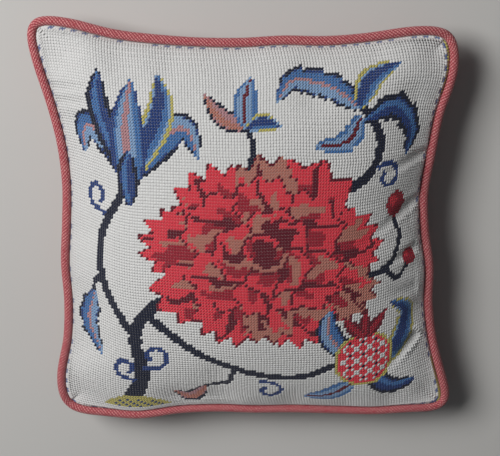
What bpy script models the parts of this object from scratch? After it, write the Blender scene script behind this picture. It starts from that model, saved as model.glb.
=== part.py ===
"""Square cushion with a needlepoint front and a piped edge, lying on its back.

Metres, +Z up. X runs along the width of the design and Y up its height, and the cushion
rests on z = 0 with its face up. It is made of three pieces: the filled form with its plain
back, the stitched canvas that covers the front, and the round piping in the seam.

Every surface is a function of a place on the flat square of canvas, from -1 to 1 across and
from -1 to 1 up it, so that the pieces follow each other.
"""

import bpy
import numpy as np

MM = 0.001

# Thicknesses and gaps
PANEL_THICKNESS = 2.5 * MM
PIPING_RADIUS = 4.0 * MM
GAP = 0.3 * MM

# Heights: the seam above the surface, and the crowns in front of it and behind it
SEAM_HEIGHT = 43.0 * MM
CORNER_DROOP = 5.0 * MM
FRONT_CROWN = 64.0 * MM
BACK_CROWN = 58.0 * MM
SEAM_LIP = 1.5 * MM
PRESSED_EDGE = 4.0 * MM

# Shape of the crown: its fullness, and how far its top lies right of the middle
CROWN_FULLNESS = 0.68
CROWN_LEAN = 0.07

# How early inside the panel the rounding of its corners starts
CORNER_REACH = 6

# Resolution
STEPS_PER_SIDE = 24
RINGS = 10
PIPING_SIDES = 8

# Corners of the panel's edge, pulled out of square: place before rounding, in mm, and
# how far the rounding cuts in, as a share of the half diagonal
CORNER_COLUMNS = ("x", "y", "cut")
EDGE_CORNERS = {
    "bottom_left": (-178, -183, 0.054),
    "bottom_right": (188, -179, 0.04),
    "top_left": (-192, 184, 0.038),
    "top_right": (177, 174, 0.042),
}

# How far each side draws in from the straight line between its corners, in mm.
# Left and right run from bottom to top, top and bottom from left to right.
DRAW_IN_COLUMNS = ("share", "left", "right", "bottom", "top")
DRAW_IN = (
    (0.0, 0, 0, 0, 0),
    (0.1, 6, 12.5, 2.5, 6.5),
    (0.2, 16, 21.5, 1, 14.5),
    (0.3, 20, 25.5, 6, 18),
    (0.4, 20, 25, 7.5, 19.5),
    (0.5, 24, 29.5, 6, 19),
    (0.6, 27, 30, 6, 16),
    (0.7, 25.5, 24, 4.5, 15.5),
    (0.8, 19, 17, 3, 11.5),
    (0.9, 9.5, 5, 3.5, 5),
    (1.0, 0, 0, 0, 0),
)

# Dents in the front, in mm: middle, half width across and up, and depth
DENT_COLUMNS = ("x", "y", "across", "up", "depth")
DENTS = (
    (142, 121, 20, 15, 3.0),
    (148, 76, 12, 18, 2.0),
    (138, 24, 16, 20, 3.5),
    (140, -36, 14, 12, 2.5),
    (150, -78, 12, 16, 2.0),
    (-48, -158, 34, 12, 4.0),
    (-150, 98, 26, 8, 1.5),
)

# Colours, roughness
STITCHED_WOOL = ((0.60, 0.59, 0.55), 0.95)
CORAL_CLOTH = ((0.55, 0.10, 0.10), 0.9)


def clear_scene():
    """Remove every object of the start-up scene."""
    for old in list(bpy.data.objects):
        bpy.data.objects.remove(old, do_unlink=True)


def cloth_material(name, finish):
    """A matt cloth of one colour and roughness."""
    color, roughness = finish
    material = bpy.data.materials.new(name)
    material.use_nodes = True
    shader = material.node_tree.nodes["Principled BSDF"]
    shader.inputs["Base Color"].default_value = (*color, 1.0)
    shader.inputs["Roughness"].default_value = roughness
    shader.inputs["Metallic"].default_value = 0.0
    return material


def column(table, columns, name):
    """One named column of a table, as an array."""
    return np.array([row[columns.index(name)] for row in table], float)


def draw_in(side, across):
    """Draw-in of a side in metres, on a smooth curve through its column of the table.

    Between two stations the curve is the cubic that has, at each of them, the slope
    between the stations on either side.
    """
    depth = column(DRAW_IN, DRAW_IN_COLUMNS, side) * MM
    slope = np.gradient(depth)
    share = (across + 1) / 2 * (len(depth) - 1)
    start = np.clip(np.floor(share).astype(int), 0, len(depth) - 2)
    t = share - start
    return (
        depth[start] * (2 * t**3 - 3 * t**2 + 1)
        + depth[start + 1] * (3 * t**2 - 2 * t**3)
        + slope[start] * (t**3 - 2 * t**2 + t)
        + slope[start + 1] * (t**3 - t**2)
    )


def inward(first, last):
    """Unit vector square to the side from first to last, towards the middle."""
    run = np.subtract(last, first)
    normal = np.array((-run[1], run[0])) / np.hypot(*run)
    middle = np.add(first, last) / 2
    return normal if normal @ middle < 0 else -normal


def spread(across, up):
    """Place in plan, in metres, of a place on the flat square.

    The corners are joined by straight sides and the middle is shared between them in
    proportion. To this each side adds its draw-in, in full at the side and fading to
    nothing at the side across from it.
    """
    corner = {name: np.array(row[:2]) * MM for name, row in EDGE_CORNERS.items()}
    right = ((across + 1) / 2)[..., None]
    top = ((up + 1) / 2)[..., None]
    left, bottom = 1 - right, 1 - top
    plan = (
        corner["bottom_left"] * left * bottom
        + corner["bottom_right"] * right * bottom
        + corner["top_left"] * left * top
        + corner["top_right"] * right * top
    )
    sides = (
        ("left", "bottom_left", "top_left", up, left),
        ("right", "bottom_right", "top_right", up, right),
        ("bottom", "bottom_left", "bottom_right", across, bottom),
        ("top", "top_left", "top_right", across, top),
    )
    for side, first, last, along, share in sides:
        way = inward(corner[first], corner[last])
        plan = plan + draw_in(side, along)[..., None] * share * way
    return plan


def nearest_cut(across, up):
    """Cut of the corner that is nearest to each place."""
    cut = {name: row[CORNER_COLUMNS.index("cut")] for name, row in EDGE_CORNERS.items()}
    below = np.where(across < 0, cut["bottom_left"], cut["bottom_right"])
    above = np.where(across < 0, cut["top_left"], cut["top_right"])
    return np.where(up < 0, below, above)


def round_corners(across, up):
    """Pull places near the corners of the flat square towards its middle.

    On the edge the pull is the corner's cut at the corner itself and falls away along
    both sides at the rate that leaves the edge smooth there. It fades towards the middle.
    """
    larger = np.maximum(abs(across), abs(up))
    smaller = np.minimum(abs(across), abs(up))
    to_corner = smaller / np.maximum(larger, 1e-9)
    cut = nearest_cut(across, up)
    power = (1 - cut) / (2 * cut)
    keep = 1 - cut * to_corner**power * larger**CORNER_REACH
    return across * keep, up * keep


def seam_level(across, up):
    """Height of the seam that belongs to a place: a little lower at the corners."""
    return SEAM_HEIGHT - CORNER_DROOP * (across * up) ** 4


def fullness(across, up):
    """Share of the full crown, 1 at its top and 0 all along the seam."""
    inside = np.clip((1 - across**2) * (1 - up**2), 0, 1)
    return inside**CROWN_FULLNESS


def front_surface(across, up):
    """Outer face of the needlepoint: the seam's level, the crown, and the dents."""
    plan = spread(*round_corners(across, up))
    leaned = across - CROWN_LEAN * (1 - across**2)
    crown = fullness(leaned, up)
    height = seam_level(across, up) + SEAM_LIP + FRONT_CROWN * crown
    for row in DENTS:
        dent = dict(zip(DENT_COLUMNS, row))
        aside = (plan[..., 0] / MM - dent["x"]) / dent["across"]
        along = (plan[..., 1] / MM - dent["y"]) / dent["up"]
        depth = dent["depth"] * MM * np.exp(-(aside**2) - along**2)
        height = height - depth * np.clip(crown * 4, 0, 1)
    return np.concatenate((plan, height[..., None]), axis=-1)


def back_surface(across, up):
    """Outer face of the back, pressed flat on z = 0 in the middle.

    The flat joins the crown of the back on a parabola as high as PRESSED_EDGE.
    """
    plan = spread(*round_corners(across, up))
    free = seam_level(across, up) - SEAM_LIP - BACK_CROWN * fullness(across, up)
    eased = (free + PRESSED_EDGE) ** 2 / (4 * PRESSED_EDGE)
    height = np.where(free < -PRESSED_EDGE, 0, np.where(free > PRESSED_EDGE, free, eased))
    return np.concatenate((plan, height[..., None]), axis=-1)


def edge_stations():
    """Places round the edge of the flat square, anticlockwise, closer at the corners."""
    turn = np.linspace(-1, 1, STEPS_PER_SIDE, endpoint=False)
    along = np.sin(turn * np.pi / 2)
    one = np.ones_like(along)
    across = np.concatenate((along, one, -along, -one))
    up = np.concatenate((-one, along, one, -along))
    return across, up


def ring_grid(count):
    """Places on rings from the edge in towards the middle, closer near the edge."""
    size = np.sin(np.linspace(1, 0, count, endpoint=False) * np.pi / 2)[:, None]
    across, up = edge_stations()
    return size * across, size * up


def behind(points, depth):
    """Points moved a depth behind their surface, square to it."""
    inwards = np.gradient(points, axis=0)
    around = (np.roll(points, -1, axis=1) - np.roll(points, 1, axis=1)) / 2
    normal = np.cross(around, inwards)
    normal = normal / np.linalg.norm(normal, axis=-1, keepdims=True)
    return points - normal * depth


def ring_faces(first, count, around):
    """Triangles that join rings of points, each facing up when the rings run inwards."""
    faces = []
    for ring in range(count - 1):
        outer = first + ring * around
        inner = outer + around
        for step in range(around):
            beyond = (step + 1) % around
            faces.append((outer + step, outer + beyond, inner + beyond))
            faces.append((outer + step, inner + beyond, inner + step))
    return faces


def cap_faces(ring, centre, around):
    """Triangles from the innermost ring to the point in its middle."""
    return [(ring + step, ring + (step + 1) % around, centre) for step in range(around)]


def closed_shell(name, upper, lower, upper_centre, lower_centre, material):
    """A closed solid between two faces made of rings, joined by a narrow edge."""
    around = upper.shape[1]
    rings_up, rings_down = len(upper), len(lower)
    first_down = rings_up * around
    top = first_down + rings_down * around
    bottom = top + 1
    points = np.concatenate(
        (upper.reshape(-1, 3), lower.reshape(-1, 3), [upper_centre], [lower_centre])
    )
    faces = ring_faces(0, rings_up, around)
    faces += cap_faces(first_down - around, top, around)
    under = ring_faces(first_down, rings_down, around)
    under += cap_faces(top - around, bottom, around)
    faces += [tuple(reversed(face)) for face in under]
    for step in range(around):
        beyond = (step + 1) % around
        faces.append((step, first_down + step, first_down + beyond, beyond))
    return add_object(name, points, faces, material)


def add_object(name, points, faces, material):
    """Add a smooth-shaded mesh object with its material."""
    mesh = bpy.data.meshes.new(name)
    mesh.from_pydata(points.tolist(), [], faces)
    mesh.materials.append(material)
    mesh.shade_smooth()
    made = bpy.data.objects.new(name, mesh)
    bpy.context.scene.collection.objects.link(made)
    return made


def piping_points():
    """Points of the piping: a circle carried round just outside the panel's edge."""
    across, up = edge_stations()
    plan = spread(*round_corners(across, up))
    run = np.roll(plan, -1, axis=0) - np.roll(plan, 1, axis=0)
    outward = np.stack((run[:, 1], -run[:, 0]), axis=-1)
    outward = outward / np.linalg.norm(outward, axis=-1, keepdims=True)
    middle = plan + outward * (PIPING_RADIUS + GAP)
    turn = np.arange(PIPING_SIDES) / PIPING_SIDES * 2 * np.pi
    flat = middle[:, None, :] + outward[:, None, :] * PIPING_RADIUS * np.cos(turn)[:, None]
    height = seam_level(across, up)[:, None] + PIPING_RADIUS * np.sin(turn)
    return np.concatenate((flat, height[..., None]), axis=-1)


def make_piping(points, material):
    """Skin the piping's circles into one closed ring."""
    stations, sides, _ = points.shape
    faces = []
    for here in range(stations):
        ahead = (here + 1) % stations
        for side in range(sides):
            beyond = (side + 1) % sides
            faces.append(
                (
                    here * sides + side,
                    ahead * sides + side,
                    ahead * sides + beyond,
                    here * sides + beyond,
                )
            )
    return add_object("piping", points.reshape(-1, 3), faces, material)


def middle_of(surface, shift, depth):
    """Middle point of a surface, moved down by a depth and by the frame's shift."""
    point = surface(np.zeros(1), np.zeros(1))[0] - shift
    return point - np.array((0, 0, depth))


def build():
    """Make the three pieces, with the middle of the whole at x = 0 and y = 0."""
    clear_scene()
    wool = cloth_material("stitched_wool", STITCHED_WOOL)
    coral = cloth_material("coral_cloth", CORAL_CLOTH)
    back_coral = cloth_material("coral_back_cloth", CORAL_CLOTH)

    ring = piping_points()
    plan = ring[..., :2].reshape(-1, 2)
    shift = np.append((plan.min(axis=0) + plan.max(axis=0)) / 2, 0)

    grid = ring_grid(RINGS)
    front = front_surface(*grid) - shift
    panel_back = behind(front, PANEL_THICKNESS)
    form_front = behind(front, PANEL_THICKNESS + GAP)
    form_back = back_surface(*grid) - shift

    closed_shell(
        "needlepoint_panel",
        front,
        panel_back,
        middle_of(front_surface, shift, 0),
        middle_of(front_surface, shift, PANEL_THICKNESS),
        wool,
    )
    closed_shell(
        "filled_cushion",
        form_front,
        form_back,
        middle_of(front_surface, shift, PANEL_THICKNESS + GAP),
        middle_of(back_surface, shift, 0),
        back_coral,
    )
    make_piping(ring - shift, coral)


build()
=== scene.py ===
import bpy
import numpy as np
from mathutils import Matrix, Vector


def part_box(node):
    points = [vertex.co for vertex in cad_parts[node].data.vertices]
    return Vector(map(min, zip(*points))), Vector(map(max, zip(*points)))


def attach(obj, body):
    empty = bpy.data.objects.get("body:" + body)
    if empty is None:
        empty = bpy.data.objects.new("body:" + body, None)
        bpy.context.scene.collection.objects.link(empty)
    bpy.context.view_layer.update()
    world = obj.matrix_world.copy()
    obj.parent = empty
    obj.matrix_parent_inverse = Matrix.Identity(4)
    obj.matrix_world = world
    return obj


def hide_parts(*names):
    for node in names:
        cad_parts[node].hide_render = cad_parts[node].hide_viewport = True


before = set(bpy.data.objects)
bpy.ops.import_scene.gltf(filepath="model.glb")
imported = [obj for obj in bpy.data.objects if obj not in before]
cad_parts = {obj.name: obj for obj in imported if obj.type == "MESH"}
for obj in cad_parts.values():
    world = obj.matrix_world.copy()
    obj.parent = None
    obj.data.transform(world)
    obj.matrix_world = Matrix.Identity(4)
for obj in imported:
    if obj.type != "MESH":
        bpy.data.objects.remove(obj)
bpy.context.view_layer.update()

# The filled form with its plain back. A square of coral twill is sewn to the front
# along the seam and stuffed until it crowns, so its sides draw in, its corners stand
# out, and the middle of the back presses flat on what carries it.

MM = 0.001
SEAM_HEIGHT = 43.0 * MM
CORNER_DROOP = 5.0 * MM
FRONT_CROWN = 64.0 * MM
BACK_CROWN = 58.0 * MM
SEAM_LIP = 1.5 * MM
PRESSED_EDGE = 4.0 * MM
CROWN_FULLNESS = 0.68
CROWN_LEAN = 0.07
DENT_FADE = 4
CORNER_REACH = 12
CORNER_BLUR = 6.0

# The seam's corners in plan, in mm, and how much of each is rounded off.
CORNER_COLUMNS = ("x", "y", "cut")
EDGE_CORNERS = {
    "bottom_left": (-178, -183, 0.054),
    "bottom_right": (188, -179, 0.04),
    "top_left": (-192, 184, 0.038),
    "top_right": (177, 174, 0.042),
}
# How far each side draws in, in mm, at even shares of the way along it.
DRAW_IN_COLUMNS = ("share", "left", "right", "bottom", "top")
DRAW_IN = (
    (0.0, 0, 0, 0, 0),
    (0.1, 6, 12.5, 2.5, 6.5),
    (0.2, 16, 21.5, 1, 14.5),
    (0.3, 20, 25.5, 6, 18),
    (0.4, 20, 25, 7.5, 19.5),
    (0.5, 24, 29.5, 6, 19),
    (0.6, 27, 30, 6, 16),
    (0.7, 25.5, 24, 4.5, 15.5),
    (0.8, 19, 17, 3, 11.5),
    (0.9, 9.5, 5, 3.5, 5),
    (1.0, 0, 0, 0, 0),
)
# Soft dents in the front, in mm.
DENT_COLUMNS = ("x", "y", "across", "up", "depth")
DENTS = (
    (142, 121, 20, 15, 3.0),
    (148, 76, 12, 18, 2.0),
    (138, 24, 16, 20, 3.5),
    (140, -36, 14, 12, 2.5),
    (150, -78, 12, 16, 2.0),
    (-48, -158, 34, 12, 4.0),
    (-150, 98, 26, 8, 1.5),
)
# Furrows that run in from the seam: start, length, width and depth in mm, heading in
# degrees.
FURROW_COLUMNS = ("x", "y", "heading", "length", "width", "depth")
FURROWS = (
    (158, 71, 200, 30, 5, 3.5),
    (152, 30, 212, 34, 5, 4.5),
    (151, -15, 200, 24, 5, 3.5),
    (152, -52, 186, 22, 7, 2.0),
    (154, -96, 227, 30, 5, 4.5),
    (-177, 127, 0, 34, 5, 0.9),
    (-173, 115, 0, 34, 5, 0.9),
)


def column(table, columns, name):
    """One named column of a table, as an array."""
    return np.array([row[columns.index(name)] for row in table], float)


def smooth_between(values, place):
    """Values read between the stations 0, 1, 2 and on, along a smooth curve.

    Between two stations it is the cubic whose slopes follow the stations on either side.
    """
    slope = np.gradient(values)
    start = np.clip(np.floor(place).astype(int), 0, len(values) - 2)
    t = place - start
    return (
        values[start] * (2 * t**3 - 3 * t**2 + 1)
        + values[start + 1] * (3 * t**2 - 2 * t**3)
        + slope[start] * (t**3 - 2 * t**2 + t)
        + slope[start + 1] * (t**3 - t**2)
    )


def draw_in(side, along):
    """How far a side draws in, in metres, at places from -1 to 1 along it."""
    depth = column(DRAW_IN, DRAW_IN_COLUMNS, side) * MM
    return smooth_between(depth, (along + 1) / 2 * (len(depth) - 1))


def inward(first, last):
    """Unit vector square to the side from first to last, towards the middle."""
    run = np.subtract(last, first)
    normal = np.array((-run[1], run[0])) / np.hypot(*run)
    return normal if normal @ np.add(first, last) < 0 else -normal


def spread(across, up):
    """Place in plan of a place on the flat square, -1 to 1 across and -1 to 1 up.

    The four corners are shared out in proportion, and each side adds its draw-in, in
    full at the side and fading to nothing at the side across from it.
    """
    corner = {name: np.array(row[:2]) * MM for name, row in EDGE_CORNERS.items()}
    right = ((across + 1) / 2)[..., None]
    top = ((up + 1) / 2)[..., None]
    left, bottom = 1 - right, 1 - top
    plan = (
        corner["bottom_left"] * left * bottom
        + corner["bottom_right"] * right * bottom
        + corner["top_left"] * left * top
        + corner["top_right"] * right * top
    )
    sides = (
        ("left", "bottom_left", "top_left", up, left),
        ("right", "bottom_right", "top_right", up, right),
        ("bottom", "bottom_left", "bottom_right", across, bottom),
        ("top", "top_left", "top_right", across, top),
    )
    for side, first, last, along, share in sides:
        way = inward(corner[first], corner[last])
        plan = plan + draw_in(side, along)[..., None] * share * way
    return plan


def round_corners(across, up):
    """Pull places near a corner towards the middle, by the cut of that corner.

    The pull falls away along both sides at the rate that leaves the edge smooth at the
    corner. Towards the middle it fades out as a high power, and its fold along the
    diagonal is rounded off, the more the farther it is from the edge.
    """
    cut = {name: row[CORNER_COLUMNS.index("cut")] for name, row in EDGE_CORNERS.items()}
    below = np.where(across < 0, cut["bottom_left"], cut["bottom_right"])
    above = np.where(across < 0, cut["top_left"], cut["top_right"])
    cut = np.where(up < 0, below, above)
    within = np.clip((1 - across**2) * (1 - up**2), 0, 1)
    larger = np.maximum(abs(across), abs(up))
    off_diagonal = 1 - np.minimum(abs(across), abs(up)) / np.maximum(larger, 1e-9)
    blur = CORNER_BLUR * within
    off_diagonal = np.hypot(off_diagonal, blur) - blur
    pull = (1 - off_diagonal) ** ((1 - cut) / (2 * cut)) * (1 - within) ** CORNER_REACH
    keep = 1 - cut * pull
    return across * keep, up * keep


def seam_level(across, up):
    """Height of the seam, lower by the fourth power of the place near a corner."""
    return SEAM_HEIGHT - CORNER_DROOP * (across * up) ** 4


def fullness(across, up):
    """Share of the full crown: the falls towards both pairs of sides, multiplied."""
    return np.clip((1 - across**2) * (1 - up**2), 0, 1) ** CROWN_FULLNESS


OUTLINE_STEPS = 400


def edge_places(count):
    """Places round the edge of the flat square, anticlockwise, closer at the corners."""
    along = np.sin(np.linspace(-1, 1, count, endpoint=False) * np.pi / 2)
    one = np.ones_like(along)
    across = np.concatenate((along, one, -along, -one))
    up = np.concatenate((-one, along, one, -along))
    return across, up


# The frame's origin is the middle of the outline, so the plan is moved to where the
# panel stands in the frame.
low, high = (np.array(corner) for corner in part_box("needlepoint_panel"))
edge = spread(*round_corners(*edge_places(OUTLINE_STEPS)))
plan_shift = (low[:2] + high[:2]) / 2 - (edge.min(axis=0) + edge.max(axis=0)) / 2


def furrow_depth(plan):
    """Depth of the furrows that run in from the seam, in metres.

    Each is a straight groove with a rounded bottom. It is deepest a third of the way
    along its length, and runs out to nothing at the seam and past its end.
    """
    total = np.zeros(plan.shape[:-1])
    for row in FURROWS:
        furrow = dict(zip(FURROW_COLUMNS, row))
        run = (plan[..., 0] + 1j * plan[..., 1]) / MM - complex(furrow["x"], furrow["y"])
        run = run * np.exp(-1j * np.radians(furrow["heading"]))
        share = np.clip(run.real, 0, None) / furrow["length"] * 3
        groove = np.exp(-((run.imag / furrow["width"]) ** 2))
        total += furrow["depth"] * MM * groove * share * np.exp(1 - share)
    return total


def front_surface(across, up):
    """Outer face of the needlepoint: the seam's level plus the crown, whose top leans to
    one side, less the dents, which fade out towards the seam, and the furrows."""
    plan = spread(*round_corners(across, up))
    crown = fullness(across - CROWN_LEAN * (1 - across**2), up)
    height = seam_level(across, up) + SEAM_LIP + FRONT_CROWN * crown
    for row in DENTS:
        dent = dict(zip(DENT_COLUMNS, row))
        aside = (plan[..., 0] / MM - dent["x"]) / dent["across"]
        along = (plan[..., 1] / MM - dent["y"]) / dent["up"]
        depth = dent["depth"] * MM * np.exp(-(aside**2) - along**2)
        height = height - depth * np.clip(crown * DENT_FADE, 0, 1)
    height = height - furrow_depth(plan)
    return np.concatenate((plan + plan_shift, height[..., None]), axis=-1)


def back_surface(across, up):
    """Outer face of the back, pressed flat in the middle through a low parabola."""
    plan = spread(*round_corners(across, up))
    free = seam_level(across, up) - SEAM_LIP - BACK_CROWN * fullness(across, up)
    eased = (free + PRESSED_EDGE) ** 2 / (4 * PRESSED_EDGE)
    height = np.where(free < -PRESSED_EDGE, 0, np.where(free > PRESSED_EDGE, free, eased))
    return np.concatenate((plan + plan_shift, height[..., None]), axis=-1)


def outward_normals(points):
    """Unit normals of a grid of points, from its slopes along rows and columns.

    A corner takes its neighbour's normal, because two sides run into each other there.
    """
    normal = np.cross(np.gradient(points, axis=1), np.gradient(points, axis=0))
    normal /= np.maximum(np.linalg.norm(normal, axis=-1, keepdims=True), 1e-12)
    normal[[0, 0, -1, -1], [0, -1, 0, -1]] = normal[[1, 1, -2, -2], [1, -2, 1, -2]]
    return normal


EVEN_TURNS = 5


def even_out(points, rail):
    """Shares of the way along each row of points that are equally far apart on it."""
    gaps = np.linalg.norm(np.diff(points, axis=1), axis=-1)
    length = np.concatenate((np.zeros((len(gaps), 1)), np.cumsum(gaps, axis=1)), axis=1)
    length = length / length[:, -1:]
    even = np.linspace(0, 1, points.shape[1])
    return np.array([np.interp(even, row, rail_row) for row, rail_row in zip(length, rail)])


def cloth_places(steps):
    """Places on the flat square of evenly spaced points of the cloth, first index up.

    They start as an even square grid. Each turn slides the points along their rows, and
    then along their columns, until neighbours are equally far apart on the front.
    """
    even = np.linspace(-1, 1, steps + 1)
    up, across = np.meshgrid(even, even, indexing="ij")
    for _ in range(EVEN_TURNS):
        across = even_out(front_surface(across, up), across)
        up = even_out(front_surface(across, up).swapaxes(0, 1), up.T).T
    return across, up


def grid_corners(rows, columns, first=0, closed=False):
    """Corners of the quads of a grid of points, its last column joined on if closed."""
    row = np.arange(rows - 1)[:, None] * columns
    here = np.arange(columns if closed else columns - 1)
    beyond = (here + 1) % columns
    corners = (row + here, row + beyond, row + columns + beyond, row + columns + here)
    return np.stack(corners, axis=-1).reshape(-1, 4) + first


def lay_mesh(name, points, quads, triangles=()):
    """Add a smooth-shaded mesh object from arrays of points, quads and triangles."""
    triangles = np.reshape(triangles, (-1, 3)).astype(int)
    corners = np.concatenate((quads.ravel(), triangles.ravel()))
    sizes = np.concatenate((np.full(len(quads), 4), np.full(len(triangles), 3)))
    mesh = bpy.data.meshes.new(name)
    mesh.vertices.add(len(points))
    mesh.vertices.foreach_set("co", points.astype(np.float32).ravel())
    mesh.loops.add(len(corners))
    mesh.loops.foreach_set("vertex_index", corners.astype(np.int32))
    mesh.polygons.add(len(sizes))
    starts = np.cumsum(sizes) - sizes
    mesh.polygons.foreach_set("loop_start", starts.astype(np.int32))
    mesh.update(calc_edges=True)
    mesh.shade_smooth()
    made = bpy.data.objects.new(name, mesh)
    bpy.context.scene.collection.objects.link(made)
    return made


def put_corner_map(piece, name, places):
    """Give a piece a UV map with one place for each corner of each face."""
    layer = piece.data.uv_layers.new(name=name)
    layer.uv.foreach_set("vector", places.astype(np.float32).ravel())


def linear(color):
    """A colour given as it looks, 0 to 255, as the light values that a shader takes."""
    shown = np.array(color) / 255
    return (*np.where(shown < 0.04045, shown / 12.92, ((shown + 0.055) / 1.055) ** 2.4), 1.0)


class Finish:
    """A material under construction: nodes are added by kind and wired by socket."""

    def __init__(self, name, roughness, sheen, specular=0.2):
        self.material = bpy.data.materials.new(name)
        self.material.use_nodes = True
        self.tree = self.material.node_tree
        self.shader = self.tree.nodes["Principled BSDF"]
        self.shader.inputs["Roughness"].default_value = roughness
        self.shader.inputs["Sheen Weight"].default_value = sheen
        self.shader.inputs["Sheen Roughness"].default_value = 0.5
        self.shader.inputs["Specular IOR Level"].default_value = specular

    def node(self, kind, settings=(), **sockets):
        """Add a node, set its own properties, and fill or wire its sockets."""
        node = self.tree.nodes.new(kind)
        for name, value in dict(settings).items():
            setattr(node, name, value)
        for name, value in sockets.items():
            socket = node.inputs[name.replace("_", " ")]
            if isinstance(value, bpy.types.NodeSocket):
                self.tree.links.new(value, socket)
            else:
                socket.default_value = value
        return node

    def maths(self, operation, *values):
        """The result of a sum on one, two or three values."""
        node = self.node("ShaderNodeMath", {"operation": operation})
        for socket, value in zip(node.inputs, values):
            if isinstance(value, bpy.types.NodeSocket):
                self.tree.links.new(value, socket)
            else:
                socket.default_value = value
        return node.outputs[0]

    def ramp(self, factor, stops):
        """Colours that follow a value, from (place, colour) stops."""
        node = self.node("ShaderNodeValToRGB", Fac=factor)
        band = node.color_ramp
        while len(band.elements) < len(stops):
            band.elements.new(0.5)
        for element, (place, color) in zip(band.elements, stops):
            element.position = place
            element.color = color
        return node.outputs["Color"]

    def noise(self, scale, detail=2.0):
        """Cloudy noise over the piece, by its place in the object."""
        place = self.node("ShaderNodeTexCoord").outputs["Object"]
        made = self.node("ShaderNodeTexNoise", Vector=place, Scale=scale, Detail=detail)
        return made.outputs["Fac"]

    def mix(self, factor, first, second):
        """One colour faded into another."""
        node = self.node("ShaderNodeMix", {"data_type": "RGBA"})
        for place, value in ((0, factor), (6, first), (7, second)):
            if isinstance(value, bpy.types.NodeSocket):
                self.tree.links.new(value, node.inputs[place])
            else:
                node.inputs[place].default_value = value
        return node.outputs[2]

    def color(self, socket):
        """Send a colour to the shader."""
        self.tree.links.new(socket, self.shader.inputs["Base Color"])

    def relief(self, height, distance, strength=1.0):
        """Raise the finish by a height, in metres at its fullest."""
        bump = self.node("ShaderNodeBump", Height=height, Distance=distance, Strength=strength)
        self.tree.links.new(bump.outputs["Normal"], self.shader.inputs["Normal"])


# Painted shade: the darker coral that fills the grooves between the twill lines.
CORAL_GROOVE_SHADE = linear((126, 38, 50))
CORAL = linear((184, 79, 91))
CORAL_FLECK = linear((230, 170, 168))
CORAL_WORN = linear((178, 82, 76))
TWILL_PITCH = 1.6 * MM
TWILL_RELIEF = 0.16 * MM
WORN_SHARE = 0.35
FLECK_ABOVE = 0.45
FLECK_BREAK = -0.7
FLECK_STRENGTH = 0.85


def coral_twill(name, lines):
    """Coral twill: fine raised lines with painted shade between them, pale flecks where a
    thread shows, cloudy wear.

    lines is a function that takes the finish and gives two values: one that rises by
    one from each twill line to the next, and one that rises along the lines.
    """
    finish = Finish(name, roughness=0.85, sheen=0.25)
    steps, along = lines(finish)
    wave = finish.maths("SINE", finish.maths("MULTIPLY", steps, 2 * np.pi))
    ridge = finish.maths("MULTIPLY_ADD", wave, 0.5, 0.5)
    cloud = finish.noise(60.0, 3.0)
    fleck_noise = finish.noise(900.0, 1.0)
    # Painted shade: the coral darkens down into the grooves between the raised lines.
    body = finish.ramp(ridge, ((0.0, CORAL_GROOVE_SHADE), (0.55, CORAL), (1.0, CORAL)))
    worn = finish.mix(finish.maths("MULTIPLY", cloud, WORN_SHARE), body, CORAL_WORN)
    dashes = finish.maths("SINE", finish.maths("MULTIPLY", along, 2 * np.pi))
    dashes = finish.maths("GREATER_THAN", dashes, FLECK_BREAK)
    specks = finish.maths("GREATER_THAN", fleck_noise, FLECK_ABOVE)
    chosen = finish.maths("MULTIPLY", ridge, finish.maths("MULTIPLY", dashes, specks))
    pale = finish.maths("MULTIPLY", chosen, FLECK_STRENGTH)
    finish.color(finish.mix(pale, worn, CORAL_FLECK))
    finish.relief(ridge, TWILL_RELIEF)
    return finish.material


def back_lines(finish):
    """Twill lines that climb at 45 degrees across the back, by place in the object."""
    place = finish.node("ShaderNodeTexCoord").outputs["Object"]
    parts = finish.node("ShaderNodeSeparateXYZ", Vector=place).outputs
    rising = finish.maths("ADD", parts["X"], parts["Y"])
    falling = finish.maths("SUBTRACT", parts["X"], parts["Y"])
    steps = finish.maths("DIVIDE", rising, TWILL_PITCH * np.sqrt(2))
    return steps, finish.maths("DIVIDE", falling, TWILL_PITCH * 2)


PAD_STEPS = 70
PANEL_DEPTH = 2.8 * MM
SLACK_HEIGHT = 0.95
SLACK_LENGTH = 0.008
FILL_PRESSURE = 4.0
FILL_FRAMES = 20
CLOTH_STRETCH = 15.0
CLOTH_SHEAR = 5.0
CLOTH_BEND = 8.0
FARTHEST_MOVE = 6.0 * MM
CALM_TURNS = 3


def fill(pad, seam_points, full):
    """Where the cloth of a pad goes when its filling blows it out, its seam held.

    The pad starts lower than its full shape, and its cloth is a little too long for it,
    so it puckers along the seam. The move away from the full shape is shortened
    smoothly, so that it stays below FARTHEST_MOVE, and nothing goes below the surface.
    """
    held = pad.vertex_groups.new(name="seam")
    held.add(seam_points.tolist(), 1.0, "REPLACE")
    cloth = pad.modifiers.new("filling", "CLOTH")
    cloth.collision_settings.use_collision = False
    settings = cloth.settings
    settings.vertex_group_mass = "seam"
    settings.effector_weights.gravity = 0
    settings.use_pressure = True
    settings.uniform_pressure_force = FILL_PRESSURE
    settings.shrink_min = -SLACK_LENGTH
    settings.tension_stiffness = settings.compression_stiffness = CLOTH_STRETCH
    settings.shear_stiffness = CLOTH_SHEAR
    settings.bending_stiffness = CLOTH_BEND
    scene = bpy.context.scene
    for number in range(1, FILL_FRAMES + 1):
        scene.frame_set(number)
    blown = pad.evaluated_get(bpy.context.evaluated_depsgraph_get()).to_mesh()
    points = np.empty(full.size, np.float32)
    blown.vertices.foreach_get("co", points)
    pad.modifiers.remove(cloth)
    pad.vertex_groups.remove(held)
    scene.frame_set(1)
    move = points.reshape(full.shape) - full
    length = np.maximum(np.linalg.norm(move, axis=-1, keepdims=True), 1e-9)
    move *= FARTHEST_MOVE * np.tanh(length / FARTHEST_MOVE) / length
    move[:, 2] = np.maximum(move[:, 2], -full[:, 2])
    return move


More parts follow.
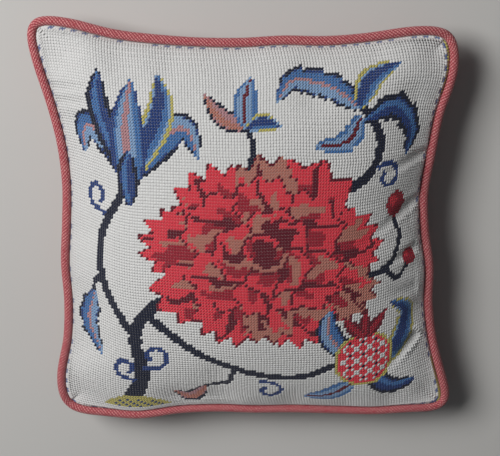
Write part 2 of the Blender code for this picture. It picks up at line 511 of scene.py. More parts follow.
def calm(values):
    """A grid of moves, each averaged with its neighbours both ways, which leaves only
    the folds that stiff canvas can follow. The seam along its rim stays where it is."""
    for _ in range(CALM_TURNS):
        values = values.copy()
        values[1:-1] = (values[:-2] + 2 * values[1:-1] + values[2:]) / 4
        values[:, 1:-1] = (values[:, :-2] + 2 * values[:, 1:-1] + values[:, 2:]) / 4
    return values


pad_across, pad_up = cloth_places(PAD_STEPS)
upper = front_surface(pad_across, pad_up)
upper -= outward_normals(upper) * PANEL_DEPTH
lower = back_surface(pad_across, pad_up)
seam = np.ones(pad_across.shape, bool)
seam[1:-1, 1:-1] = False
upper[seam] = (upper[seam] + lower[seam]) / 2
upper_slot = np.arange(seam.size).reshape(seam.shape)
lower_slot = upper_slot.copy()
lower_slot[~seam] = seam.size + np.arange((~seam).sum())
full = np.concatenate((upper.reshape(-1, 3), lower[~seam]))
level = seam_level(pad_across, pad_up)
level = np.concatenate((level.ravel(), level[~seam]))
slack = full.copy()
slack[:, 2] = level + (full[:, 2] - level) * SLACK_HEIGHT
pad_corners = grid_corners(PAD_STEPS + 1, PAD_STEPS + 1)
quads = np.concatenate((pad_corners, lower_slot.ravel()[pad_corners][:, ::-1]))
filled_form = lay_mesh("filled_form", slack, quads)
move = fill(filled_form, upper_slot[seam], full)
front_move = calm(move[: seam.size].reshape(upper.shape))
move[: seam.size] = front_move.reshape(-1, 3)
filled_form.data.vertices.foreach_set("co", (full + move).astype(np.float32).ravel())
filled_form.data.update()

filled_form.data.materials.append(coral_twill("coral_twill_back", back_lines))
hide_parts("filled_cushion")
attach(filled_form, "root")

# The canvas under the stitches: off-white mono canvas with ten holes to the inch, of
# which only specks show between the wool. It covers the front up to the seam, and its
# rows of holes slide until they lie evenly over the crown.

STITCHES = 140
HOLE_PITCH = 2.54 * MM
CANVAS_BELOW = 0.31 * MM
CANVAS_THICK = 1.2 * MM
CANVAS_RELIEF = 0.4 * MM
CANVAS_DULL = linear((222, 218, 206))
CANVAS_PALE = linear((240, 237, 227))
CANVAS_HOLE = linear((236, 234, 228))


def between_rows(values):
    """The rows of a grid with the mean of each two neighbours put in between them."""
    doubled = values.repeat(2, axis=0)[:-1]
    doubled[1::2] = (values[:-1] + values[1:]) / 2
    return doubled


hole_across, hole_up = cloth_places(STITCHES)
face = front_surface(hole_across, hole_up)
# The canvas has twice the pad's steps, so it takes the pad's moves and the means of them.
face += between_rows(between_rows(front_move).swapaxes(0, 1)).swapaxes(0, 1)
face_normal = outward_normals(face)
holes = face - face_normal * CANVAS_BELOW

canvas = lay_mesh(
    "canvas_ground", holes.reshape(-1, 3), grid_corners(STITCHES + 1, STITCHES + 1)
)
hole_number = np.arange(STITCHES + 1)
flat_place = np.stack(np.meshgrid(hole_number, hole_number), axis=-1).reshape(-1, 2)
put_corner_map(canvas, "threads", flat_place[grid_corners(STITCHES + 1, STITCHES + 1)])
thickness = canvas.modifiers.new("cloth thickness", "SOLIDIFY")
thickness.thickness = CANVAS_THICK
thickness.offset = -1.0


def canvas_cloth():
    """Off-white canvas: a thread lies between each two rows of holes, both ways."""
    finish = Finish("mono_canvas", roughness=0.9, sheen=0.1)
    threads = finish.node("ShaderNodeUVMap", {"uv_map": "threads"}).outputs["UV"]
    parts = finish.node("ShaderNodeSeparateXYZ", Vector=threads).outputs
    waves = []
    for axis in ("X", "Y"):
        share = finish.maths("FRACT", parts[axis])
        waves.append(finish.maths("SINE", finish.maths("MULTIPLY", share, np.pi)))
    thread = finish.maths("MAXIMUM", *waves)
    cloud = finish.noise(220.0)
    cloth = finish.mix(cloud, CANVAS_DULL, CANVAS_PALE)
    shade = finish.ramp(thread, ((0.25, (0.0, 0.0, 0.0, 1.0)), (0.6, (1.0, 1.0, 1.0, 1.0))))
    finish.color(finish.mix(shade, CANVAS_HOLE, cloth))
    finish.relief(thread, CANVAS_RELIEF)
    return finish.material


canvas.data.materials.append(canvas_cloth())
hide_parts("needlepoint_panel")
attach(canvas, "root")
side = STITCHES * HOLE_PITCH

# The tent stitches: one slanting stitch of wool over each crossing of the canvas, from
# a hole to the next hole up and to the right. Each wool is one piece, but ivory is three.
# The design is charted by stroke, leaf, petal and berry on the grid of stitches.

# Each wool: its colour, how wide its stitches are against the gap between rows, and its
# shadow: painted shade at the ends of its stitches, down the holes, as a share of its colour.
# Above one, as for ivory, it is painted light that makes the holes paler.
WOOL_COLUMNS = ("color", "cover", "shadow")
WOOLS = {
    "ivory": ((220, 220, 219), 2.15, 1.08),
    "scarlet": ((236, 64, 80), 1.34, 0.65),
    "crimson": ((164, 34, 54), 1.36, 0.65),
    "maroon": ((104, 24, 42), 1.4, 0.65),
    "rosewood": ((190, 124, 110), 1.26, 0.7),
    "navy": ((26, 32, 54), 1.5, 0.6),
    "royal": ((38, 64, 124), 1.36, 0.7),
    "azure": ((70, 116, 174), 1.34, 0.8),
    "sky": ((132, 164, 202), 1.38, 0.85),
    "mauve": ((184, 136, 142), 1.38, 0.8),
    "olive": ((192, 182, 104), 1.45, 0.8),
    "slate": ((104, 118, 160), 1.4, 0.85),
}
wool_names = list(WOOLS)
chart = np.zeros((STITCHES, STITCHES), int)
stitch_row, stitch_column = np.mgrid[:STITCHES, :STITCHES]
middles = stitch_column + 0.5 + 1j * (stitch_row + 0.5)


def work(where, wool):
    """Work the chosen stitches in a wool."""
    chart[where] = wool_names.index(wool)


CURVE_STEPS = 24


def beside(points):
    """For every stitch, its share of the way along a smooth curve through a few points,
    how far it lies to the left of the curve, and how far from the curve it is."""
    knots = np.array([complex(*point) for point in points])
    steps = CURVE_STEPS * (len(knots) - 1) + 1
    path = smooth_between(knots, np.linspace(0, len(knots) - 1, steps))
    away = middles[..., None] - path
    nearest = abs(away).argmin(axis=-1)
    away = np.take_along_axis(away, nearest[..., None], axis=-1)[..., 0]
    run = np.gradient(path)
    left = (away / (run / abs(run))[nearest]).imag
    return nearest / (steps - 1), left, abs(away)


def stem(points, widths, wool):
    """A stroke along a curve, as wide as the widths spaced evenly along it."""
    share, _, gap = beside(points)
    work(gap < np.interp(share, np.linspace(0, 1, len(widths)), widths) / 2, wool)


LEAF_ROUNDING = 0.8
LEAF_BITE = 0.3


def leaf(points, width, teeth, bands):
    """A pointed leaf along a curve, in bands from its right edge, -1, to its left, 1.

    Its half width is a power of a sine of the way along it, which each tooth cuts down
    by a share that grows towards the tooth's end.
    """
    share, left, gap = beside(points)
    bite = LEAF_BITE * (share * teeth % 1)
    half = width / 2 * np.sin(np.pi * share**LEAF_ROUNDING) ** LEAF_ROUNDING * (1 - bite)
    side = left / np.maximum(half, 1e-6)
    within = (gap < half) & (share > 0) & (share < 1)
    for low, high, wool in bands:
        work(within & (side >= low) & (side <= high), wool)


BLOOM_SQUASH = 0.84
PETAL_RUFFLE = 0.12
PETAL_DROOP = 0.3
PETAL_EDGE = 0.8
PETAL_FOOT = 0.73
FOLD_WIDTH = 0.4


def petal(centre, reach, turn, width, teeth, body, foot, band):
    """A ruffled petal about a centre, edged in maroon shadow.

    Its rim falls away to both sides and is cut into teeth. Its foot is darker up to a
    wavy line, a fold of shadow narrows outwards down its middle, and a band of another
    red catches the light beside the fold.
    """
    spot = middles - complex(*centre)
    spot = spot.real + 1j * spot.imag / BLOOM_SQUASH
    aside = ((np.degrees(np.angle(spot)) - turn + 180) % 360 - 180) / width
    ruffle = PETAL_RUFFLE * abs((aside * teeth + 0.3) % 1 - 0.5) * 2
    rim = reach * (1 - PETAL_DROOP * abs(aside) ** 2.5) * (1 - ruffle)
    share = abs(spot) / rim
    work((abs(aside) < 1.06) & (abs(spot) < rim + PETAL_EDGE), "maroon")
    within = (abs(aside) < 0.98) & (share < 1)
    work(within, body)
    drift = aside + 0.25 * np.sin(share * 8 + turn)
    work(within & (share < PETAL_FOOT + 0.09 * np.sin(drift * 9)), foot)
    work(within & (abs(drift + 0.1) < FOLD_WIDTH * (1 - share)), "maroon")
    work(within & (abs(drift - 0.45) < 0.2) & (share > 0.5) & (share < 0.92), band)


def berry(centre, radius, wool, shine):
    """A round berry with a lit spot up and to the left of its middle."""
    gap = middles - complex(*centre)
    work(abs(gap) < radius, wool)
    work(abs(gap - radius * (0.3j - 0.3)) < radius * 0.45, shine)


CURL_TURN = 1.7 * np.pi
CURL_CLOSING = 0.5
CURL_LEAD = 4
CURL_POINTS = 12
CURL_WIDTHS = (1.8, 1.8, 2.0)


def curl(start, heading, size, hand):
    """Points of a hook that sets off along its heading and winds inwards to its left,
    or to its right where hand is -1, with a short straight run before its start."""
    turn = np.linspace(0, CURL_TURN, CURL_POINTS)
    radius = size * (1 - CURL_CLOSING * turn / CURL_TURN)
    way = np.exp(1j * np.radians(heading))
    spots = complex(*start) + way * 1j * hand * (size - radius * np.exp(1j * hand * turn))
    spots = np.concatenate(([complex(*start) - CURL_LEAD * way], spots))
    return [(spot.real, spot.imag) for spot in spots]


# Places are counted in stitches from the lower left corner, and angles are in degrees.
STEMS = (
    (((27, 10), (31, 22), (29, 38), (38, 50), (56, 56)), (7, 5, 4.4, 4), "navy"),
    (((30, 36), (19, 52), (17, 72), (29, 92)), (3.6, 3), "navy"),
    (((34, 46), (56, 30), (84, 22), (106, 30)), (3.2, 2.6), "navy"),
    (((98, 88), (112, 94), (116, 106), (108, 118)), (3.6, 3), "navy"),
    (((104, 62), (118, 60), (126, 68), (126, 78)), (2.4, 2), "navy"),
    (((18, 58), (14, 54), (13, 48)), (2, 1.8), "navy"),
    (((64, 26), (62, 18), (54, 15)), (2, 1.8), "navy"),
    (((70, 96), (72, 104), (70, 112)), (2.4, 2), "navy"),
    (((118, 61), (124, 56), (130, 60)), (2, 1.8), "navy"),
)
for points, widths, wool in STEMS:
    stem(points, widths, wool)
CURLS = (
    ((36, 25), 0, 5, 1),
    ((14, 80), 170, 4.5, -1),
    ((78, 19), -15, 4.5, -1),
    ((120, 97), 10, 4.5, -1),
    ((24, 20), 170, 4.2, -1),
)
for start, heading, size, hand in CURLS:
    stem(curl(start, heading, size, hand), CURL_WIDTHS, "royal")

PETAL_COLUMNS = ("centre", "reach", "turn", "width", "teeth", "body", "foot", "band")
PETALS = (
    ((76, 66), 45, 60, 32, 2, "scarlet", "crimson", "rosewood"),
    ((76, 66), 44, 124, 30, 3, "scarlet", "crimson", "rosewood"),
    ((77, 66), 43, 92, 22, 2, "rosewood", "crimson", "scarlet"),
    ((76, 66), 44, 14, 27, 3, "scarlet", "crimson", "rosewood"),
    ((76, 66), 45, 166, 27, 3, "scarlet", "rosewood", "crimson"),
    ((76, 66), 43, 206, 25, 2, "scarlet", "rosewood", "crimson"),
    ((76, 66), 43, -26, 26, 3, "rosewood", "crimson", "scarlet"),
    ((76, 68), 40, 243, 28, 3, "scarlet", "crimson", "rosewood"),
    ((76, 68), 41, -66, 28, 3, "scarlet", "crimson", "rosewood"),
    ((76, 70), 39, 272, 20, 2, "rosewood", "maroon", "scarlet"),
    ((76, 69), 31, 38, 40, 2, "scarlet", "crimson", "rosewood"),
    ((75, 69), 31, 142, 40, 2, "scarlet", "crimson", "rosewood"),
    ((76, 71), 29, 92, 30, 2, "scarlet", "rosewood", "crimson"),
    ((76, 69), 30, 214, 38, 2, "scarlet", "rosewood", "crimson"),
    ((76, 69), 30, -34, 40, 2, "scarlet", "crimson", "rosewood"),
    ((76, 71), 28, 268, 32, 2, "scarlet", "crimson", "rosewood"),
    ((76, 70), 18, 62, 66, 2, "scarlet", "maroon", "rosewood"),
    ((76, 70), 18, 182, 66, 2, "scarlet", "rosewood", "crimson"),
    ((76, 70), 18, 302, 66, 2, "scarlet", "crimson", "rosewood"),
    ((76, 70), 8, 120, 90, 1, "scarlet", "maroon", "crimson"),
    ((76, 70), 8, 300, 90, 1, "rosewood", "maroon", "crimson"),
)
for row in PETALS:
    petal(**dict(zip(PETAL_COLUMNS, row)))

BLUE = (
    (-1, 1, "navy"),
    (-0.78, 0.78, "royal"),
    (-0.7, 0.15, "azure"),
    (0.1, 0.7, "sky"),
    (-0.12, 0.12, "mauve"),
)
DEEP = ((-1, 1, "navy"), (-0.6, 0.6, "royal"), (0.0, 0.45, "azure"))
PALE = ((-1, 1, "azure"), (-0.6, 0.7, "sky"), (-0.1, 0.2, "maroon"))
GOLD = ((-1, 1, "olive"), (-0.75, 0.75, "sky"), (-0.6, 0.6, "azure"), (-0.2, 0.6, "royal"))
ROSE = ((-1, 1, "navy"), (-0.7, 0.7, "mauve"), (-0.1, 0.6, "rosewood"))
CORE = ((-1, 1, "royal"), (-0.75, 0.75, "azure"), (-0.4, 0.6, "sky"), (-0.1, 0.3, "mauve"))
LEAF_COLUMNS = ("points", "width", "teeth", "bands")
LEAVES = (
    (((29, 92), (21, 104), (12, 107), (10, 97)), 12, 0, BLUE),
    (((29, 92), (39, 104), (49, 110), (54, 100)), 12, 0, BLUE),
    (((29, 92), (20, 112), (21, 128)), 11, 0, DEEP),
    (((29, 92), (41, 114), (41, 129)), 10, 0, GOLD),
    (((29, 88), (29, 106), (32, 126)), 14, 0, CORE),
    (((29, 84), (28, 94), (29, 102)), 9, 0, DEEP),
    (((108, 116), (98, 124), (86, 126), (80, 118)), 12, 7, BLUE),
    (((108, 116), (112, 126), (122, 131)), 9, 0, GOLD),
    (((110, 112), (121, 116), (129, 108), (127, 98)), 11, 6, DEEP),
    (((109, 114), (104, 106), (92, 104)), 9, 4, PALE),
    (((112, 24), (124, 30), (129, 42), (121, 48)), 10, 0, GOLD),
    (((112, 24), (120, 14), (131, 14)), 9, 0, DEEP),
    (((108, 26), (98, 40), (98, 50)), 9, 0, BLUE),
    (((108, 20), (98, 12), (88, 10)), 8, 0, PALE),
    (((13, 50), (9, 38), (15, 26)), 11, 5, BLUE),
    (((54, 15), (48, 8), (42, 12)), 7, 0, ROSE),
    (((70, 110), (62, 114), (56, 122)), 7, 0, ROSE),
    (((70, 110), (70, 120), (72, 128)), 8, 0, PALE),
    (((70, 110), (76, 112), (82, 110)), 6, 0, GOLD),
)
for row in LEAVES:
    leaf(**dict(zip(LEAF_COLUMNS, row)))

berry((126, 82), 4.6, "crimson", "scarlet")
berry((131, 62), 3.4, "crimson", "scarlet")

FRUIT = complex(111, 28)
FRUIT_RADIUS = 11.5
FRUIT_RIND = 1.3
LATTICE_EVERY = 5
CROWN_ROOT = 9
CROWN_TIP = 20
CROWN_LEAF = ((-1, 1, "maroon"), (-0.5, 0.5, "crimson"))
spot = middles - FRUIT
rising = (stitch_column + stitch_row) % LATTICE_EVERY == 0
falling = (stitch_column - stitch_row) % LATTICE_EVERY == 0
within = abs(spot) < FRUIT_RADIUS - 2
work(abs(spot) < FRUIT_RADIUS, "olive")
work(abs(spot) < FRUIT_RADIUS - FRUIT_RIND, "scarlet")
work(within & (rising | falling), "ivory")
work(within & rising & falling, "navy")
for turn in (64, 90, 116):
    tip = FRUIT + CROWN_TIP * np.exp(1j * np.radians(turn))
    foot = FRUIT + 1j * CROWN_ROOT
    leaf(((foot.real, foot.imag), (tip.real, tip.imag)), 5, 0, CROWN_LEAF)

MOUND_MIDDLE = 27
MOUND_HALF = 13
MOUND_HEIGHT = 7
MOUND_FOOT = 4
from_middle = (stitch_column - MOUND_MIDDLE) / MOUND_HALF
hill = MOUND_FOOT + MOUND_HEIGHT * np.cos(np.clip(from_middle, -1, 1) * np.pi / 2)
above_foot = stitch_row >= MOUND_FOOT
work((abs(from_middle) < 1) & above_foot & (stitch_row < hill), "olive")
dotted = (stitch_row + stitch_column) % 4 == 0
work((abs(from_middle) < 0.8) & above_foot & (stitch_row < hill - 2) & dotted, "royal")

# Slate dashes two stitches long run along the seam, with some left out. At the right
# edge, near its corners, an olive line runs outside them.
DASH_SEED = 5
DASH_SHARE = 0.75
DASH_EVERY = 4
OLIVE_FROM_MIDDLE = 50
DASHES = {"left": 0, "right": 1, "bottom": 0, "top": 0}
chance = np.random.default_rng(DASH_SEED).random((4, STITCHES // 2)).repeat(2, axis=1)
worked = chance < DASH_SHARE
along = np.arange(STITCHES)
last = STITCHES - 1
for side, from_edge in DASHES.items():
    blue = along[worked[list(DASHES).index(side)] & (along % DASH_EVERY < DASH_EVERY / 2)]
    line = {
        "left": (blue, from_edge),
        "right": (blue, last - from_edge),
        "bottom": (from_edge, blue),
        "top": (last - from_edge, blue),
    }
    work(line[side], "slate")
near_corner = abs(stitch_row - last / 2) > OLIVE_FROM_MIDDLE
work((stitch_column == last) & near_corner, "olive")


STITCH_HALF_HEIGHT = 0.21 * MM
STITCH_SINK = 0.03 * MM
STITCH_SIDES = 5
STITCH_RINGS = (0.04, 0.5, 0.96)
STITCH_PLUMP = (0.92, 1.0, 0.92)
# Painted highlight: the rings of each stitch are set paler than its dye, most in the middle.
STITCH_SHADING = (0.62, 0.78, 0.62)
STITCH_ARCH = 0.3
STITCH_SEED = 12
LUCK_ASIDE = 0.08 * MM
LUCK_WIDTH = 0.06
LUCK_HEIGHT = 0.08
LUCK_TONE = 0.12


def stitch_points(row, col, luck, cover):
    """Points of slanting stitches: a bead of wool swept from hole to hole.

    The bead's middle runs straight between the holes and arches up out of them as a low
    power of a sine. It has a point at each end and three rings of sides between them.
    Luck, columns of numbers about 0, varies each bead's width, height and place.
    """
    start, end = holes[row, col], holes[row + 1, col + 1]
    normal = face_normal[row, col] + face_normal[row + 1, col + 1]
    normal /= np.linalg.norm(normal, axis=-1, keepdims=True)
    run = end - start
    across = holes[row, col + 1] - holes[row + 1, col]
    length = np.linalg.norm(run, axis=-1)
    row_gap = np.linalg.norm(np.cross(run, across), axis=-1) / length / 2
    aside = np.cross(normal, run) / length[:, None]
    share, plump = np.array(STITCH_RINGS), np.array(STITCH_PLUMP)
    rise = CANVAS_BELOW - STITCH_HALF_HEIGHT + STITCH_SINK
    arch = np.sin(np.pi * share) ** STITCH_ARCH * rise - STITCH_SINK
    middle = start[:, None] + run[:, None] * share[:, None]
    middle = middle + normal[:, None] * arch[:, None]
    middle = middle + aside[:, None] * (luck[:, 2, None, None] * LUCK_ASIDE)
    turn = np.arange(STITCH_SIDES) / STITCH_SIDES * 2 * np.pi + np.pi / 2
    width = cover * row_gap / 2 * (1 + LUCK_WIDTH * luck[:, 0])
    height = STITCH_HALF_HEIGHT * (1 + LUCK_HEIGHT * luck[:, 1])
    wide = (width[:, None] * plump)[..., None] * np.cos(turn)
    high = (height[:, None] * plump)[..., None] * np.sin(turn)
    rings = (
        middle[:, :, None]
        + aside[:, None, None] * wide[..., None]
        + normal[:, None, None] * high[..., None]
    )
    ends = np.stack((start, end), axis=1) - normal[:, None] * STITCH_SINK
    return np.concatenate((rings.reshape(len(row), -1, 3), ends), axis=1)


def patch_places(corners):
    """Places on a stitch's patch of a face's corners, for each side round the stitch."""
    return [[(u, (s + v) / STITCH_SIDES) for u, v in corners] for s in range(STITCH_SIDES)]


def stitch_faces():
    """Corners of one stitch's quads and triangles, and their places on its own patch
    of the piece's map: along the stitch one way and round it the other."""
    side = np.arange(STITCH_SIDES)
    beyond = (side + 1) % STITCH_SIDES
    first, last = 3 * STITCH_SIDES, 3 * STITCH_SIDES + 1
    quads, quad_places = [], []
    for ring in range(2):
        here, ahead = ring * STITCH_SIDES, (ring + 1) * STITCH_SIDES
        quads.append(np.stack((here + side, here + beyond, ahead + beyond, ahead + side), -1))
        low, high = (ring + 1) / 4, (ring + 2) / 4
        quad_places.append(patch_places(((low, 0), (low, 1), (high, 1), (high, 0))))
    ahead = 2 * STITCH_SIDES
    triangles = (
        np.stack((0 * side + first, beyond, side), -1),
        np.stack((0 * side + last, ahead + side, ahead + beyond), -1),
    )
    triangle_places = (
        patch_places(((0, 0.5), (0.25, 1), (0.25, 0))),
        patch_places(((1, 0.5), (0.75, 0), (0.75, 1))),
    )
    return (
        np.concatenate(quads),
        np.concatenate(quad_places),
        np.concatenate(triangles),
        np.concatenate(triangle_places),
    )


# Painted highlight: how much paler the crest of each stitch is painted than its dye.
CREST_HIGHLIGHT = 1.08
CREST_HIGHLIGHT_LIMIT = 0.86
FUZZ = 0.22
WOOL_RELIEF = 0.2 * MM


def wool_finish(wool):
    """Worsted wool: its dye, painted a little paler on the crest of a stitch as a highlight,
    and painted shade of it down the hole, which is painted light where the shadow factor is
    above one, with fine fibre noise in its colour and its relief."""
    finish = Finish(wool + "_wool", roughness=0.9, sheen=0.3)
    facts = dict(zip(WOOL_COLUMNS, WOOLS[wool]))
    dye = np.array(linear(facts["color"]))
    # Painted shading: the shadow colour is painted down the holes, and the crest colour is a
    # painted highlight.
    shadow, crest_highlight = dye * facts["shadow"], np.minimum(dye * CREST_HIGHLIGHT, CREST_HIGHLIGHT_LIMIT)
    shadow[3] = crest_highlight[3] = 1.0
    painted_shading_and_tone = finish.node("ShaderNodeAttribute", {"attribute_name": "painted_shading_and_tone"}).outputs["Fac"]
    body = finish.ramp(painted_shading_and_tone, ((0.0, tuple(shadow)), (0.5, tuple(dye)), (1.0, tuple(crest_highlight))))
    fibre = finish.noise(1500.0, 2.0)
    fuzz = finish.mix(finish.maths("MULTIPLY", fibre, FUZZ), body, tuple(shadow))
    finish.color(fuzz)
    finish.relief(fibre, WOOL_RELIEF, 0.6)
    return finish.material


PATCH_MARGIN = 0.06
IVORY_PARTS = 3


def work_wool(piece_name, wool, row, col, luck):
    """Make one piece of stitches that are worked in one wool.

    Each stitch has a patch of its own in the piece's map, one of a square of patches.
    Its points carry painted shade at its two ends, down the holes, and a painted highlight
    on its rings, and the last column of luck adds a random tone to them.
    """
    count = len(row)
    cover = dict(zip(WOOL_COLUMNS, WOOLS[wool]))["cover"]
    points = stitch_points(row, col, luck, cover)
    each = points.shape[1]
    quads, quad_places, triangles, triangle_places = stitch_faces()
    first = np.arange(count)[:, None, None] * each
    piece = lay_mesh(
        piece_name,
        points.reshape(-1, 3),
        (quads + first).reshape(-1, 4),
        (triangles + first).reshape(-1, 3),
    )
    across = int(np.ceil(np.sqrt(count)))
    cell = np.stack((np.arange(count) % across, np.arange(count) // across), axis=-1)
    patches = [
        (cell[:, None, None] + PATCH_MARGIN + (1 - 2 * PATCH_MARGIN) * places).reshape(-1, 2)
        / across
        for places in (quad_places, triangle_places)
    ]
    put_corner_map(piece, "OFBake", np.concatenate(patches))
    # Painted shading: the rings get painted highlight, the two end points 0, the painted shade
    # down the holes; luck adds a random tone.
    ring_shading = np.repeat(STITCH_SHADING, STITCH_SIDES)
    painted_shading_and_tone = np.concatenate((ring_shading, (0.0, 0.0)))[None] + LUCK_TONE * luck[:, 3:4]
    layer = piece.data.attributes.new("painted_shading_and_tone", "FLOAT", "POINT")
    layer.data.foreach_set("value", np.clip(painted_shading_and_tone, 0, 1).astype(np.float32).ravel())
    piece.data.materials.append(wool_finish(wool))
    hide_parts("needlepoint_panel")
    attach(piece, "root")


luck = np.random.default_rng(STITCH_SEED).standard_normal((STITCHES, STITCHES, 4))
luck = luck.clip(-2, 2) / 2
for number, wool in enumerate(wool_names):
    row, col = np.nonzero(chart == number)
    parts = IVORY_PARTS if wool == "ivory" else 1
    for part in range(parts):
        share = slice(len(row) * part // parts, len(row) * (part + 1) // parts)
        name = f"{wool}_stitches" + (f"_{part + 1}" if parts > 1 else "")
        work_wool(name, wool, row[share], col[share], luck[row[share], col[share]])

# The piping: a soft cord in a tube of coral twill cut on the bias, let into the seam
# all the way round, so that the twill lines wind round it.

PIPING_RADIUS = 4.1 * MM
PIPING_AWAY = 4.3 * MM
PIPING_STEPS = 300
PIPING_SIDES = 20
TWILL_TURNS = 8
# Depth as a share of the radius, length in metres for each radian, and start in radians.
LUMPS = ((0.015, 31.0 * MM, 0), (0.012, 11.7 * MM, 1))


def piping_points():
    """A circle carried round just outside the panel's edge, and its place along it.

    Two sines of the way along it, those in LUMPS, make the circle a little uneven.
    """
    across, up = edge_places(PIPING_STEPS)
    plan = spread(*round_corners(across, up)) + plan_shift
    run = np.roll(plan, -1, axis=0) - np.roll(plan, 1, axis=0)
    outward = np.stack((run[:, 1], -run[:, 0]), axis=-1)
    outward /= np.linalg.norm(outward, axis=-1, keepdims=True)
    middle = plan + outward * PIPING_AWAY
    length = np.cumsum(np.linalg.norm(middle - np.roll(middle, 1, axis=0), axis=-1))
    turn = np.arange(PIPING_SIDES) / PIPING_SIDES * 2 * np.pi
    lumps = 1 + sum(depth * np.sin(length / wave + start) for depth, wave, start in LUMPS)
    radius = (PIPING_RADIUS * lumps)[:, None]
    flat = middle[:, None] + outward[:, None] * (radius * np.cos(turn))[..., None]
    height = seam_level(across, up)[:, None] + radius * np.sin(turn)
    return np.concatenate((flat, height[..., None]), axis=-1), length


piping_skin, piping_length = piping_points()
stations = len(piping_skin)
points = piping_skin.reshape(-1, 3)
corners = grid_corners(stations + 1, PIPING_SIDES, closed=True) % len(points)
piping = lay_mesh("bias_piping", points, corners[:, ::-1])
station, side = np.divmod(np.arange(len(points)), PIPING_SIDES)
wraps = round(piping_length[-1] * TWILL_TURNS / (2 * np.pi * PIPING_RADIUS))
shares = np.append(0, piping_length) / piping_length[-1]
here, ahead = shares[station], shares[station + 1]
along = np.stack((here, here, ahead, ahead), -1)
round_it = np.stack((side, side + 1, side + 1, side), -1) / PIPING_SIDES
places = np.stack((along * wraps, round_it * TWILL_TURNS), axis=-1)[:, ::-1]
put_corner_map(piping, "bias", places)


def bias_lines(finish):
    """Twill lines that wind round the cord: both ways of its own map, added. The other
    value takes one from the other."""
    place = finish.node("ShaderNodeUVMap", {"uv_map": "bias"}).outputs["UV"]
    parts = finish.node("ShaderNodeSeparateXYZ", Vector=place).outputs
    steps = finish.maths("ADD", parts["X"], parts["Y"])
    return steps, finish.maths("SUBTRACT", parts["X"], parts["Y"])


piping.data.materials.append(coral_twill("coral_twill_bias", bias_lines))
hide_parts("piping")
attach(piping, "root")

# The loose end of a white thread, which hangs out from under the piping near the lower
# left corner and droops a little.

THREAD_RADIUS = 0.35 * MM
THREAD_ROUTE = (
    (-119.0, -183.0, 36.5),
    (-118.4, -187.0, 36.6),
    (-117.6, -191.0, 36.0),
    (-116.0, -195.0, 34.6),
)
THREAD_STEPS = 16
THREAD_SIDES = 6
THREAD_DULL = linear((206, 202, 196))
THREAD_PALE = linear((240, 238, 234))

route = np.array(THREAD_ROUTE) * MM
place = np.linspace(0, len(route) - 1, THREAD_STEPS)
thread_line = np.stack([smooth_between(route[:, axis], place) for axis in range(3)], -1)
along = np.gradient(thread_line, axis=0)
along /= np.linalg.norm(along, axis=-1, keepdims=True)
aside = np.cross(along, (0, 0, 1))
aside /= np.linalg.norm(aside, axis=-1, keepdims=True)
over = np.cross(aside, along)
turn = np.arange(THREAD_SIDES) / THREAD_SIDES * 2 * np.pi
skin = (
    thread_line[:, None]
    + aside[:, None] * (THREAD_RADIUS * np.cos(turn))[:, None]
    + over[:, None] * (THREAD_RADIUS * np.sin(turn))[:, None]
)
ends = thread_line[[0, -1]]
side = np.arange(THREAD_SIDES)
beyond = (side + 1) % THREAD_SIDES
first_end = THREAD_STEPS * THREAD_SIDES
last_ring = first_end - THREAD_SIDES
triangles = np.concatenate(
    (
        np.stack((0 * side + first_end, side, beyond), axis=-1),
        np.stack((0 * side + first_end + 1, last_ring + beyond, last_ring + side), axis=-1),
    )
)
thread_end = lay_mesh(
    "thread_end",
    np.concatenate((skin.reshape(-1, 3), ends)),
    grid_corners(THREAD_STEPS, THREAD_SIDES, closed=True)[:, ::-1],
    triangles,
)
thread_finish = Finish("white_thread", roughness=0.8, sheen=0.3)
thread_finish.color(thread_finish.mix(thread_finish.noise(2000.0), THREAD_DULL, THREAD_PALE))
thread_end.data.materials.append(thread_finish.material)
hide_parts("needlepoint_panel")
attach(thread_end, "root")

# The floor, the light and the camera. Soft light falls from the left of the design and
# a little from its top, and the camera looks down on the face from nearer its top.

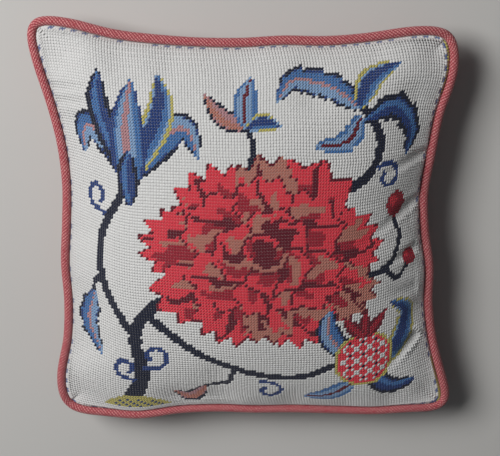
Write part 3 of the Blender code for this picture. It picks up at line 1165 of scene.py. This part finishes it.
FLOOR_SIDE = 6.0
FLOOR_DULL = linear((204, 203, 200))
FLOOR_PALE = linear((210, 209, 206))
floor_points = np.array([(x, y, 0) for y in (-1, 1) for x in (-1, 1)]) * FLOOR_SIDE / 2
floor = lay_mesh("floor", floor_points, np.array([(0, 1, 3, 2)]))
floor_finish = Finish("pale_floor", roughness=0.8, sheen=0.0)
floor_finish.color(floor_finish.mix(floor_finish.noise(3.0), FLOOR_DULL, FLOOR_PALE))
floor.data.materials.append(floor_finish.material)


def soft_light(name, place, aim, size, power, color):
    """A square soft light that faces a point. Places and size in metres, power in watts."""
    lamp = bpy.data.lights.new(name, "AREA")
    lamp.size = size
    lamp.energy = power
    lamp.color = color
    made = bpy.data.objects.new(name, lamp)
    back_from_aim = Vector(place) - Vector(aim)
    made.rotation_euler = back_from_aim.to_track_quat("Z", "Y").to_euler()
    made.location = place
    bpy.context.scene.collection.objects.link(made)


LIGHT_AIM = (0, 0, 0.05)
soft_light("window", (-1.1, 0.74, 1.4), LIGHT_AIM, 0.9, 32, (1.0, 0.99, 0.98))
soft_light("room", (0.2, 0.2, 2.4), LIGHT_AIM, 2.0, 1.5, (0.96, 0.98, 1.0))
world = bpy.data.worlds.new("room light")
world.use_nodes = True
sky = world.node_tree.nodes["Background"].inputs
sky["Color"].default_value = (0.9, 0.95, 1.0, 1.0)
sky["Strength"].default_value = 0.04
bpy.context.scene.world = world
bpy.context.scene.view_settings.view_transform = "Standard"

CAMERA_AIM = np.array((2.7, -1.0, 43.0)) * MM
CAMERA_DISTANCE = 1.10
CAMERA_TILT = np.radians(16)
PHOTO_WIDTH = 500
FOCAL_PIXELS = 1220
back_from_aim = np.array((0, np.sin(CAMERA_TILT), np.cos(CAMERA_TILT)))
up_in_view = np.array((0, np.cos(CAMERA_TILT), -np.sin(CAMERA_TILT)))
lens = bpy.data.cameras.new("camera")
lens.sensor_width = 36.0
lens.lens = lens.sensor_width * FOCAL_PIXELS / PHOTO_WIDTH
lens.clip_start = 0.01
camera = bpy.data.objects.new("camera", lens)
seat = np.eye(4)
seat[:3, :3] = np.stack(((1, 0, 0), up_in_view, back_from_aim), axis=1)
seat[:3, 3] = CAMERA_AIM + back_from_aim * CAMERA_DISTANCE
camera.matrix_world = Matrix(seat.tolist())
bpy.context.scene.collection.objects.link(camera)
bpy.context.scene.camera = camera
